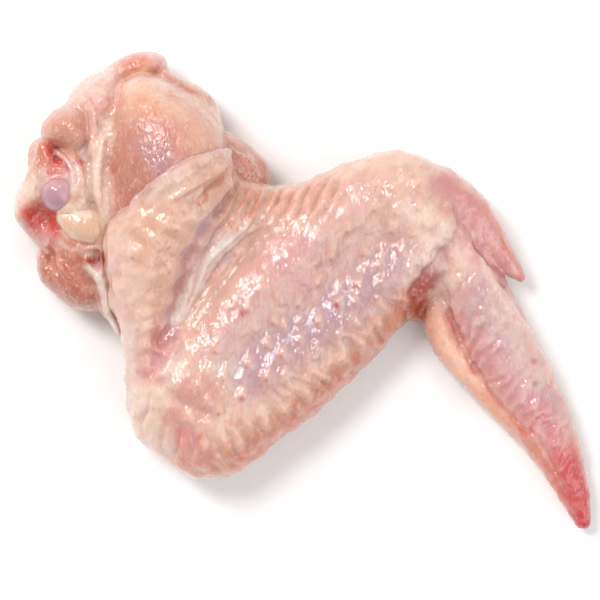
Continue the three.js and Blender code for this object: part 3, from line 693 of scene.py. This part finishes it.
# Each brush is its colour, strength, width and path, laid one over another.
# painted shade: the dark violet line below lies along the web's valley
# painted shade: the orange lines below lie in the gaps between the fan's folds
# painted shade: these thin orange lines stand for the shade in the gaps of fine folds
# painted shadow: the crimson line below lies in the crease under the thumb's edge
# painted sheen: the pink band below stands for the wet highlight on the flat's leading side
# the pale ridge has its own colour, and the white below brushes it further as a painted highlight
SKIN_PAINT = table("""
# the drumette
tan 0.75 8: -30 -2, -33 6, -31 14
cream 0.55 4.5: -36 20, -29 24, -22 27
tan 0.4 2: -23 26.4, -17 27.6
orange 0.5 0.45: -15.8 28.2, -19.4 27.8, -23.4 26.2
orange 0.6 0.45: -15.6 27.2, -18.6 26.4, -22.6 24.2
orange 0.6 0.45: -15.8 26, -18.6 24.8, -22.2 22
cream 0.5 3: -38 10, -36 0, -36 -8
blush 0.5 3.5: -40 6, -39 -2, -37 -12
ivory 0.5 3: -37 -8, -36 -14
peach 0.7 4: -36 -14, -35 -20, -34 -26
tan 0.6 3: -27 15, -24 20
mauve 0.6 0.8: -41.6 15.4, -37 19, -33 23, -28 26.8, -24 29
# the web between drumette and flat
tan 0.7 4.5: -20 22, -15 18, -12 15
orange 0.4 3.4: -13 23, -6 19.5, 0 19.5, 6 22
orange 1 0.6: -16.6 24.8, -19.6 22.4, -22 19.4
orange 0.9 0.5: -14 22.8, -16.6 18.8, -18.4 16
orange 0.8 0.5: -11.6 21.6, -13.2 18, -15.4 14.8
orange 0.8 0.5: -9.4 20.6, -10.6 17.2, -12.8 14
lilac 0.3 0.8: -17.8 20.2, -20.3 17, -22.3 14.4
lilac 0.5 0.9: -16.8 19.6, -19.4 15.8, -21.6 12.4
lilac 0.95 1.2: -20.6 14, -21.6 12.4, -23.8 8, -25.4 3.6, -26.8 -1, -28.2 -6
violet 0.6 0.5: -17.8 13.4, -20.3 9.1, -22.1 4.7, -23.9 -0.3
ivory 1 1.3: -12.4 12.8, -15.6 10.2, -19.2 8.3, -21 5.5, -22.6 1.9, -24.4 -1.6, -26.4 -5.4
white 1 1.4: -15 11.4, -17.4 9.8, -19.4 8, -21.2 5.2, -22.4 2
lilac 0.6 0.45: -14.9 9.1, -17.8 5.8, -20 2.2, -21.9 -1, -24.6 -5
peach 0.6 1.4: -3 17.6, -9 12.6, -13.4 8, -18.2 2.3, -22.7 -4, -25 -8.4
orange 0.45 0.8: -5 15.8, -10.6 10.7, -14.4 7, -17.3 3.4, -20 -0.6
# the elbow
pink 0.75 2.9: -29.2 -9.2, -30.6 -13, -32 -17.6
violet 0.4 1.1: -27.4 -8.6, -27.8 -12, -29.6 -15.6
crimson 0.25 0.9: -31.2 -9.6, -28.8 -8
crimson 0.3 1.1: -33 -18.4, -31 -18.8
blush 0.4 0.8: -34.8 -8.4, -35.8 -13, -35 -18
cream 0.9 2.8: -34.4 -23, -30.8 -21.4, -27 -16.6
rose 0.7 3.2: -23.6 -21, -20 -22.6
cream 0.6 4: -33 -26, -31 -31
orange 0.4 1.6: -29.4 -28, -27.6 -25.4
rose 0.7 4: -25 -29.6, -22.6 -34
salmon 0.6 3: -24 -36, -19 -37.6
coral 0.45 1: -25.6 -31, -26 -35
coral 0.45 1: -21.6 -30.6, -21.8 -34
# the flat
blush 0.6 4: -22 -13, -16 -5, -8 4, 0 11
blush 0.5 5: -6 10, 4 16, 16 22
lilac 0.85 6: -12 -17, -4 -11, 4 -6, 12 0, 19 5
mauve 0.5 3.6: -10 -19, 0 -13, 9 -7, 17 -1
violet 0.3 3: -5 -11, 3 -6, 9 -2
mauve 0.4 7: -15 -8, -3 0, 9 8, 18 12
ivory 0.4 1.4: -20 -16, -14 -16
pink 0.35 2.4: -9 4, 2 11
rose 0.35 3: 0 1, 6 6
orange 1 4.6: -12 -34, -2 -27.6, 8 -20, 17 -11.6, 23 -3.6
orange 0.6 3: -16 -36.6, -4 -30, 6 -23, 14 -15.6, 20 -9
salmon 0.7 2: -14 -37, -4 -30, 6 -22.6, 14 -15.6, 20 -9
cream 0.8 3: 24 17, 29 15, 27 9, 24 3
peach 0.6 3: 14 27, 24 27
# the thumb
rose 0.85 4.4: 31 23, 37 17, 42 10, 46 4
salmon 0.6 1.4: 41 17, 45 9, 47.4 4
blush 0.6 1.4: 38 12, 42 7, 45.6 4
crimson 0.6 0.8: 37.4 10.2, 40.4 6.8, 43 4
# the hand
lilac 0.6 6: 39 -2, 44 -12, 52 -26
cream 0.6 1.6: 34.6 9, 33 3, 31.6 -2
cream 0.4 2.4: 42 0, 46 -10, 51 -19
pink 0.5 2.4: 40 -12, 46 -20, 51 -27
blush 0.6 1.4: 46.6 -4, 51 -12, 56 -22
crimson 0.3 2.4: 36 -13, 42 -22, 48 -28
tip 0.45 3: 51 -26, 56 -34
tip 1 4.6: 57 -38, 61 -50
red 0.25 2.6: 59.6 -45, 61 -51
orange 0.3 2.6: 28.6 -6, 31 -12, 36 -18.6
glow 0.9 2.6: 29.4 -7, 33 -15, 39 -22, 46 -30
orange 0.3 2.2: 38 -21, 44 -27.6, 50 -33.6
salmon 0.65 2: 45 -30, 51 -36, 57 -45
cream 0.3 1: 30 -9, 33.4 -14.6, 38 -21
coral 0.7 0.5: 31.5 -2.6, 33.4 -8.4, 36.2 -14.6, 40.3 -21, 45.9 -27.6, 50.3 -31
rose 0.5 1.6: 33.4 -4, 35.6 -9.4, 38.6 -15.4, 43 -22
cream 0.7 1: 38.6 7, 41 2.4, 43.9 -1.7, 47.9 -7.4, 51.6 -13.6, 54.4 -20
rose 0.6 1.5: 41.8 5, 45 0, 48.6 -5, 53 -12, 57 -22
# the crook of the wrist
brown 1 2.1: 27.2 3.4, 25 0.6, 23.8 -2
brown 0.95 2.6: 24.6 -3, 23.6 -6.4
mauve 0.7 1.4: 30.6 8.4, 28.6 3
""")
# painted shade: the brown below darkens the hollow
# painted shadow: the coral line below lies in the crease beside the cream fold
MEAT_PAINT = table("""
# the large draped muscle
membrane 0.9 7: -36 43, -28 42, -22 36
peach 0.65 3.2: -36 45, -30 43.6, -26 40
muscle 0.7 6: -35 31, -31 29
muscle 0.85 4.4: -38.6 26, -37 18
rose 0.5 4: -32 34, -27 32
mauve 0.75 3.4: -33 30, -28.6 28
violet 0.2 2.2: -29 27.4, -31 26
membrane 0.6 3.4: -24 31, -20 32
rose 0.6 1: -38.6 15, -34 20, -28 25, -22 29, -18 30
coral 0.6 0.8: -41.2 26, -41 20, -41 16
# the strip and the roll behind it
flesh 0.5 2: -27 42, -23.2 40.3, -20.4 37.6, -18.6 34.4
tan 1 2.2: -27 42, -23.2 40.3, -20.4 37.6, -18.6 34.4
orange 0.35 2: -27 42, -23.2 40.3, -20.4 37.6, -18.6 34.4
muscle 0.6 1.5: -31 48.6, -27 45.4, -22.6 43.4, -19.2 41
salmon 1 3: -42 46.6, -37 50
blush 0.9 1.4: -32.6 51, -31.2 49.6
# pale membrane between the muscles
cream 0.8 3.6: -50 40, -47 43, -43 46
blush 0.6 3: -44.4 41.4, -41 42.6
blush 0.6 2.2: -44.6 38, -46.2 33
cream 1 2.2: -42 36, -42.8 32, -43.4 28, -43.6 23, -42.6 17
ivory 0.75 1.3: -47 31, -46.4 25, -46 20
# the round muscle and the far lobe
flesh 0.8 4.6: -51.6 36, -51.2 34
flesh 0.5 3.8: -51.8 37, -51 34
muscle 0.9 3: -58.4 31, -58.2 25
salmon 0.4 2: -58.6 30, -58.6 26
# raw flesh round the bone's end
coral 0.95 1.8: -55.4 31.4, -54.2 29
crimson 0.8 0.9: -54 29.6, -53.4 28.4
blush 0.8 2: -53.6 26.4, -51.6 26.8
coral 1 1.6: -53.8 26.6, -51.8 27
red 0.4 1.5: -53.8 26.6, -51.8 27
red 0.9 0.7: -53.6 26, -52.6 26.9, -51.6 26.6
blush 0.95 1.3: -54.4 24.4, -52.4 24.8, -50 25
blush 0.8 1.1: -52.4 29.6, -50.4 28.2, -49.2 25, -49.4 22
white 0.3 0.7: -52.4 29.6, -50.4 28.2, -49.2 25, -49.4 22
red 0.85 0.8: -48.2 28.8, -47.8 27.2
ivory 0.7 1: -49 25, -48.6 22.6
pink 0.8 1.2: -56.4 26, -56.2 22.4
# the left flap and the red pocket
cream 1 2.6: -57.2 24.4, -59.2 21.4, -60.4 18.6, -59 17
orange 0.6 1.4: -61.4 15, -58.4 11.8
flesh 1 3: -59 32, -59 27
orange 0.8 2.4: -59.4 31.4, -59.4 27
coral 0.95 3: -58.4 16, -54 15
red 0.6 2.6: -57 15.6, -53 15.4
red 1 1.9: -53.8 15.8, -52.2 15.2
red 0.6 1.4: -53.8 12.6, -53.6 9.8
rose 0.8 1.6: -57 12.4, -55.2 9.6
fat 1 3: -50 17, -46 16.4, -43.4 13.6
cream 0.8 1.6: -48.6 18.6, -45.4 18.2
ivory 0.5 0.8: -51.4 13.4, -50.4 12
# the lobes below
salmon 0.7 3.4: -50 9, -46 7, -50 3
muscle 0.8 4.4: -50.6 4, -46 -1
brown 0.8 1.7: -45.8 7, -42.8 6.8
cream 0.6 0.8: -51 10.4, -47.6 8.6, -43.6 8.6
blush 0.45 0.7: -55.6 9, -53.8 4, -50.6 0.4, -47.6 -1.6
muscle 0.9 3: -57.8 6.6, -54.6 1.6, -49 -1.8
ivory 1 1.4: -45 4.4, -42.8 1, -41.4 -4, -39.2 -8.6
lilac 0.5 0.8: -44.4 5, -42.6 3.6
# the lobe behind the web
muscle 0.7 4.5: -14 30, -9 26
ivory 0.4 0.5: -15.4 30.6, -11.4 28, -8.6 25
""")


def linear(name):
    """A palette colour's own linear light."""
    share = np.array(COLOURS[name]) / 255
    light = np.where(share <= 0.04045, share / 12.92, ((share + 0.055) / 1.055) ** 2.4)
    return DEPTH * light**RICHNESS


def brushed(points, path, width):
    """1 near a brush's path, falling off at its width."""
    line = drawn_line(path)
    best = np.full(len(points), 1e9)
    for start, end in zip(line, line[1:]):
        run = end - start
        off = points[:, :2] - start
        t = np.clip(off @ run / max(run @ run, 1e-9), 0, 1)
        best = np.minimum(best, np.linalg.norm(off - t[:, None] * run, axis=1))
    return np.exp(-((best / width) ** 2.6))


def warped(points, amount, size, seed):
    """Points moved about by noise."""
    shift = np.stack([noise(points, size, seed + axis) for axis in range(3)], 1)
    return points + amount * shift


def painted(points, normals, base, brushes, seed):
    """Linear colours of the points: base, then each brush, whose edges wander a little."""
    colour = np.array(base, float)
    place = warped(warped(points, 1.0, 3.5, seed), 0.4, 1.1, seed + 5)
    top = smoothstep(normals[:, 2], -0.35, 0.1)
    for name, strength, width, path in brushes:
        weight = (strength * brushed(place, path, width) * top)[:, None]
        colour += (linear(name) - colour) * weight
    return colour


def plain_tint(points, name):
    return np.tile(linear(name), (len(points), 1))


def toned(colour, tints):
    """Colours drawn towards each (palette colour, weight) in turn."""
    for name, weight in tints:
        colour = colour + (linear(name) - colour) * np.clip(weight, 0, 1)[:, None]
    return colour


def skin_colours(skin, masks):
    points = skin.points
    base = toned(plain_tint(points, "peach"), [
        ("blush", 0.45 * skin.on_flat * (1 - skin.up)),
        ("blush", 0.7 * skin.on_hand),
        ("blush", 0.5 * smoothstep(fractal(points, 9, 80), -0.1, 0.5)),
        ("tan", 0.5 * smoothstep(fractal(points, 7, 85), 0.0, 0.5)),
    ])
    colour = painted(points, skin.normals, base, SKIN_PAINT, 90)
    # the flat has mauve patches, and the follicles' tops are peach with an orange pore
    plain = 1 - 0.85 * np.maximum(brushed(points, TIP, 6), brushed(points, CROOK, 4))
    valley = skin.on_flat * skin.up * np.clip(-noise(points, 3.4, 99), 0, 1)
    red = np.zeros(len(points))
    for spot in RED_FOLLICLES:
        red = np.maximum(red, brushed(points, [spot, spot], 0.75) * skin.up)
    # crests are painted paler as a highlight, and the hollows between them are painted with more of the
    # part's own tint as shade
    high, low = smoothstep(masks["crest"], 0.0, 0.7), smoothstep(-masks["crest"], 0.0, 0.7)
    rim = skin.up * smoothstep(skin.cut, -1.3, -0.3) * smoothstep(points[:, 1], 10, 16)
    return toned(colour, [
        ("mauve", 0.3 * valley),
        ("peach", 0.6 * masks["bumps"] * plain),
        ("pore", 0.8 * masks["pores"]),
        ("crimson", 0.7 * red),
        # painted shade in the carved grooves and in the pleats' grooves
        ("rose", 0.3 * masks["grooves"] * (1 - skin.on_arm)),
        ("orange", 0.5 * masks["grooves"] * skin.on_arm),
        ("orange", 0.8 * masks["pleats"]),
        # painted highlight on the crests
        ("cream", 0.22 * high * plain),
        # painted shade in the hollows between crests, in each part's own tint
        ("orange", 0.14 * low * skin.on_arm),
        ("mauve", 0.22 * low * skin.on_flat * plain),
        ("rose", 0.38 * low * skin.on_hand * plain),
        ("mauve", 0.6 * rim),
    ])


def meat_colours(points, normals, grooves):
    base = toned(plain_tint(points, "flesh"), [
        ("membrane", 0.7 * smoothstep(fractal(points, 8, 130), -0.2, 0.4)),
    ])
    plain = 1 - 0.9 * brushed(points, RED_POCKET, 4)
    return toned(painted(points, normals, base, MEAT_PAINT, 140), [
        # painted shade in the carved grooves
        ("salmon", 0.3 * grooves),
        ("salmon", 0.25 * plain * smoothstep(fractal(points, 2.4, 150), 0.0, 0.6)),
        ("cream", 0.15 * plain * smoothstep(fractal(points, 1.8, 160), 0.15, 0.6)),
    ])


# ---- materials
class Nodes:
    """Short calls for building a node material."""

    def __init__(self, name):
        self.material = bpy.data.materials.new(name)
        self.material.use_nodes = True
        self.tree = self.material.node_tree
        self.tree.nodes.clear()
        self.shader = self.add("ShaderNodeBsdfPrincipled")
        output = self.add("ShaderNodeOutputMaterial")
        self.link(self.shader.outputs["BSDF"], output.inputs["Surface"])
        self.place = self.add("ShaderNodeTexCoord").outputs["Object"]

    def add(self, kind, **settings):
        node = self.tree.nodes.new(kind)
        for key, value in settings.items():
            setattr(node, key, value)
        return node

    def link(self, source, target):
        self.tree.links.new(source, target)

    def set(self, **values):
        for name, value in values.items():
            self.shader.inputs[name.replace("_", " ")].default_value = value

    def mapped(self, turn, stretch):
        node = self.add("ShaderNodeMapping", vector_type="POINT")
        node.inputs["Rotation"].default_value = (0, 0, turn)
        node.inputs["Scale"].default_value = stretch
        self.link(self.place, node.inputs["Vector"])
        return node.outputs["Vector"]

    def grain(self, size, place, detail, rough):
        """Noise whose lumps are about size mm, from 0 to 1."""
        node = self.add("ShaderNodeTexNoise")
        node.inputs["Scale"].default_value = 0.6 / (size * MM)
        node.inputs["Detail"].default_value = detail
        node.inputs["Roughness"].default_value = rough
        self.link(place or self.place, node.inputs["Vector"])
        return node.outputs["Fac"]

    def cells(self, size, place):
        node = self.add("ShaderNodeTexVoronoi", feature="SMOOTH_F1")
        node.inputs["Scale"].default_value = 1 / (size * MM)
        node.inputs["Smoothness"].default_value = 0.6
        self.link(place, node.inputs["Vector"])
        return node.outputs["Distance"]

    def ranged(self, value, low, high, to_low, to_high):
        node = self.add("ShaderNodeMapRange", clamp=True, interpolation_type="SMOOTHSTEP")
        for slot, number in zip(("From Min", "From Max", "To Min", "To Max"), (low, high, to_low, to_high)):
            node.inputs[slot].default_value = number
        self.link(value, node.inputs["Value"])
        return node.outputs["Result"]

    def sum(self, a, b):
        node = self.add("ShaderNodeMath", operation="ADD")
        self.link(a, node.inputs[0])
        self.link(b, node.inputs[1])
        return node.outputs[0]

    def tinted(self, colour, share, name):
        """A colour mixed towards one of the palette's."""
        node = self.add("ShaderNodeMix", data_type="RGBA")
        self.link(share, node.inputs[0])
        self.link(colour, node.inputs[6])
        node.inputs[7].default_value = (*map(float, linear(name)), 1)
        return node.outputs[2]

    def paint(self):
        return self.add("ShaderNodeAttribute", attribute_name="paint").outputs["Color"]

    def bumped(self, height, distance, strength=1.0, normal=None):
        """A bump whose full height is the given distance in mm, over another normal."""
        node = self.add("ShaderNodeBump")
        node.inputs["Distance"].default_value = distance * MM
        node.inputs["Strength"].default_value = strength
        self.link(height, node.inputs["Height"])
        if normal:
            self.link(normal, node.inputs["Normal"])
        return node.outputs["Normal"]


def wet_flesh(name, turn, ripple_depth, grain_depth, painted_glints, depth):
    """Painted flesh, faintly mottled and streaked, with pale flecks that are painted glints, under a thin
    wet film.
    """
    made = Nodes(name)
    paint = made.paint()
    streaks = made.grain(0.34, made.mapped(turn, (1, 0.3, 0.5)), 3, 0.6)
    mottle = made.grain(0.7, None, 4, 0.62)
    fine = made.grain(0.36, made.mapped(turn, (1, 0.6, 0.8)), 1, 0.5)
    colour = made.tinted(paint, made.ranged(streaks, 0.54, 0.72, 0, 0.2), "ivory")
    # painted glints: pale white flecks in the colour where the fine grain peaks
    colour = made.tinted(colour, made.ranged(fine, 0.6, 0.7, 0, painted_glints), "white")
    colour = made.tinted(colour, made.ranged(mottle, 0.5, 0.34, 0, 0.12), "salmon")
    made.link(colour, made.shader.inputs["Base Color"])
    patches = made.grain(4.5, None, 3, 0.6)
    rough = made.sum(made.ranged(patches, 0.35, 0.65, 0.36, 0.5), made.ranged(mottle, 0.3, 0.7, -0.05, 0.06))
    made.link(rough, made.shader.inputs["Roughness"])
    ripple = made.grain(0.72, made.mapped(turn, (1, 0.6, 0.7)), 3, 0.5)
    scales = made.cells(0.8, made.mapped(turn, (1, 0.55, 0.8)))
    normal = made.bumped(ripple, ripple_depth)
    for height, distance in ((scales, 0.09), (fine, grain_depth), (streaks, 0.06)):
        normal = made.bumped(height, distance, normal=normal)
    made.link(normal, made.shader.inputs["Normal"])
    made.link(normal, made.shader.inputs["Coat Normal"])
    made.set(Coat_Weight=1.0, Coat_Roughness=0.07, Coat_IOR=1.68, Specular_IOR_Level=0.2, IOR=1.42,
             Subsurface_Weight=0.55, Subsurface_Scale=depth * MM, Subsurface_Radius=(1.0, 0.42, 0.26))
    return made.material


def smooth_gristle(name):
    """Bluish wet cartilage, cloudy inside."""
    made = Nodes(name)
    paint = made.paint()
    cloud = made.grain(2.4, None, 3, 0.55)
    spots = made.grain(0.5, None, 2, 0.5)
    colour = made.tinted(paint, made.ranged(cloud, 0.4, 0.65, 0, 0.4), "ball_pale")
    colour = made.tinted(colour, made.ranged(spots, 0.62, 0.75, 0, 0.3), "rose")
    made.link(colour, made.shader.inputs["Base Color"])
    made.link(made.ranged(spots, 0.3, 0.7, 0.16, 0.26), made.shader.inputs["Roughness"])
    made.link(made.bumped(cloud, 0.15, 0.5), made.shader.inputs["Normal"])
    made.set(Coat_Weight=0.5, Coat_Roughness=0.06, Subsurface_Weight=0.3, Subsurface_Scale=1.5 * MM,
             Subsurface_Radius=(1.0, 0.7, 0.6), IOR=1.42)
    return made.material


def plain_floor(name):
    made = Nodes(name)
    made.set(Base_Color=(0.93, 0.93, 0.93, 1), Roughness=0.75, Specular_IOR_Level=0.15)
    return made.material


# ---- pieces
def make_piece(name, points, squares, colours, material):
    mesh = bpy.data.meshes.new(name)
    mesh.from_pydata((points * MM).tolist(), [], squares.tolist())
    mesh.polygons.foreach_set("use_smooth", np.ones(len(squares), bool))
    paint = mesh.color_attributes.new("paint", "FLOAT_COLOR", "POINT")
    rows = np.hstack([np.clip(colours, 0, 1), np.ones((len(points), 1))])
    paint.data.foreach_set("color", rows.astype(np.float32).ravel())
    mesh.materials.append(material)
    mesh.update()
    piece = bpy.data.objects.new(name, mesh)
    bpy.context.collection.objects.link(piece)
    return piece


def on_the_floor(points):
    """Points kept just above the floor."""
    kept = points.copy()
    kept[:, 2] = np.maximum(kept[:, 2], FLOOR_GAP)
    return kept


def biggest(points, squares):
    """The largest connected part of a surface."""
    owner = np.arange(len(points))
    while True:
        least = owner[squares].min(1)
        before = owner.copy()
        for corner in range(4):
            np.minimum.at(owner, squares[:, corner], least)
        owner = owner[owner]
        if (owner == before).all():
            break
    count = np.bincount(owner, minlength=len(points))
    keep = owner == count.argmax()
    number = np.cumsum(keep) - 1
    return points[keep], number[squares[keep[squares[:, 0]]]]


def meshed(field, step, box):
    """The points and squares of one whole smooth surface."""
    points, squares = biggest(*surface(field, step, *box))
    return smoothed(points, squares), squares


def raised(points, normals, height):
    return points + normals * height[:, None]


def wing_skin():
    points, squares = meshed(skin_field, SKIN_STEP, SKIN_BOX)
    skin = Skin(points, squares)
    height, masks = skin_relief(skin)
    shaped = on_the_floor(raised(points, skin.normals, height))
    wet_skin = wet_flesh("wet_skin", turn=-0.3, ripple_depth=0.26, grain_depth=0.12, painted_glints=0.12, depth=1.4)
    wing = make_piece("wing_skin_dressed", shaped, squares, skin_colours(skin, masks), wet_skin)
    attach(wing, "root")
    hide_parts("wing_skin")


def shoulder_meat():
    points, squares = meshed(meat_field, MEAT_STEP, MEAT_BOX)
    normals = normals_of(points, squares)
    height, grooves = meat_relief(points, normals)
    shaped = on_the_floor(raised(points, normals, height))
    wet_meat = wet_flesh("wet_meat", turn=0.1, ripple_depth=0.2, grain_depth=0.26, painted_glints=0.26, depth=1.4)
    colours = meat_colours(points, normals, grooves)
    meat = make_piece("shoulder_meat_dressed", shaped, squares, colours, wet_meat)
    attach(meat, "root")
    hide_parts("shoulder_meat")


def humerus_head():
    points, squares = meshed(bone_field, SMALL_STEP, BONE_BOX)
    away = np.linalg.norm(points[:, :2] - BALL_TOP, axis=1) + fractal(points, 2, 182)
    tint = toned(plain_tint(points, "ball"), [
        ("ball_pale", smoothstep(away, 1.2, 3.6)),
        ("blush", 0.7 * smoothstep(away, 2.4, 4.2)),
        ("rose", 0.5 * smoothstep(points[:, 1], 22.4, 25)),
    ])
    shaped = raised(points, normals_of(points, squares), BALL_LUMPS * fractal(points, 2.4, 183))
    ball = make_piece("humerus_head_dressed", shaped, squares, tint, smooth_gristle("cartilage_surface"))
    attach(ball, "root")
    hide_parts("humerus_head")


def fat_pad():
    points, squares = meshed(fat_field, SMALL_STEP, FAT_BOX)
    tint = toned(plain_tint(points, "fat"), [
        ("cream", 0.8 * smoothstep(points[:, 1], 14.6, 17)),
        ("peach", 0.5 * smoothstep(-points[:, 1], -14, -9)),
    ])
    shaped = raised(points, normals_of(points, squares), PAD_LUMPS * fractal(points, 3, 170))
    wet_fat = wet_flesh("fat_surface", turn=0.1, ripple_depth=0.2, grain_depth=0.06, painted_glints=0.2, depth=2.0)
    pad = make_piece("fat_pad_dressed", shaped, squares, tint, wet_fat)
    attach(pad, "root")
    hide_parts("fat_pad")


# ---- stage, light and camera
PHOTO_PIXELS = 600
PIXEL_SIZE = 0.2157  # mm on the wing to a pixel of the frame
FRAME_CENTRE = (-0.00054, -0.00173)  # metres, as the rest of this part
CAMERA_LEVEL = 0.012  # the height at which the scale holds
FLOOR_REACH = 3.0
WORLD_LIGHT = 0.55


def stage():
    mesh = bpy.data.meshes.new("studio_floor")
    corners = [(x * FLOOR_REACH, y * FLOOR_REACH, 0) for x, y in ((-1, -1), (1, -1), (1, 1), (-1, 1))]
    mesh.from_pydata(corners, [], [(0, 1, 2, 3)])
    mesh.materials.append(plain_floor("floor_surface"))
    floor = bpy.data.objects.new("studio_floor", mesh)
    bpy.context.collection.objects.link(floor)


def lamp(name, place, size, power, colour):
    """A round lamp that is turned to the wing."""
    light = bpy.data.lights.new(name, "AREA")
    light.shape = "DISK"
    light.size = size
    light.energy = power
    light.color = colour
    item = bpy.data.objects.new(name, light)
    item.location = place
    item.rotation_euler = (Vector((0, 0, 0.01)) - item.location).to_track_quat("-Z", "Y").to_euler()
    bpy.context.collection.objects.link(item)


def lights():
    lamp("key", (-0.42, 0.42, 1.05), 0.44, 6.6, (1.0, 0.985, 0.97))
    lamp("side", (-0.95, 0.76, 0.78), 0.26, 5.0, (1.0, 0.99, 0.98))
    lamp("back", (0.15, 0.9, 0.9), 0.26, 1.2, (1.0, 1.0, 1.0))
    lamp("fill", (0.9, -0.5, 1.0), 1.4, 7.5, (0.97, 0.98, 1.0))
    world = bpy.data.worlds.new("studio")
    world.use_nodes = True
    background = world.node_tree.nodes["Background"]
    background.inputs["Color"].default_value = (1, 1, 1, 1)
    background.inputs["Strength"].default_value = WORLD_LIGHT
    bpy.context.scene.world = world


def camera():
    lens = bpy.data.cameras.new("camera")
    lens.lens = 300
    lens.sensor_width = 36
    lens.clip_end = 20
    item = bpy.data.objects.new("camera", lens)
    away = PHOTO_PIXELS * PIXEL_SIZE * MM / (lens.sensor_width / lens.lens)
    item.location = (*FRAME_CENTRE, CAMERA_LEVEL + away)
    bpy.context.collection.objects.link(item)
    bpy.context.scene.camera = item


wing_skin()
shoulder_meat()
humerus_head()
fat_pad()
stage()
lights()
camera()
scene = bpy.context.scene
scene.view_settings.view_transform = "Standard"
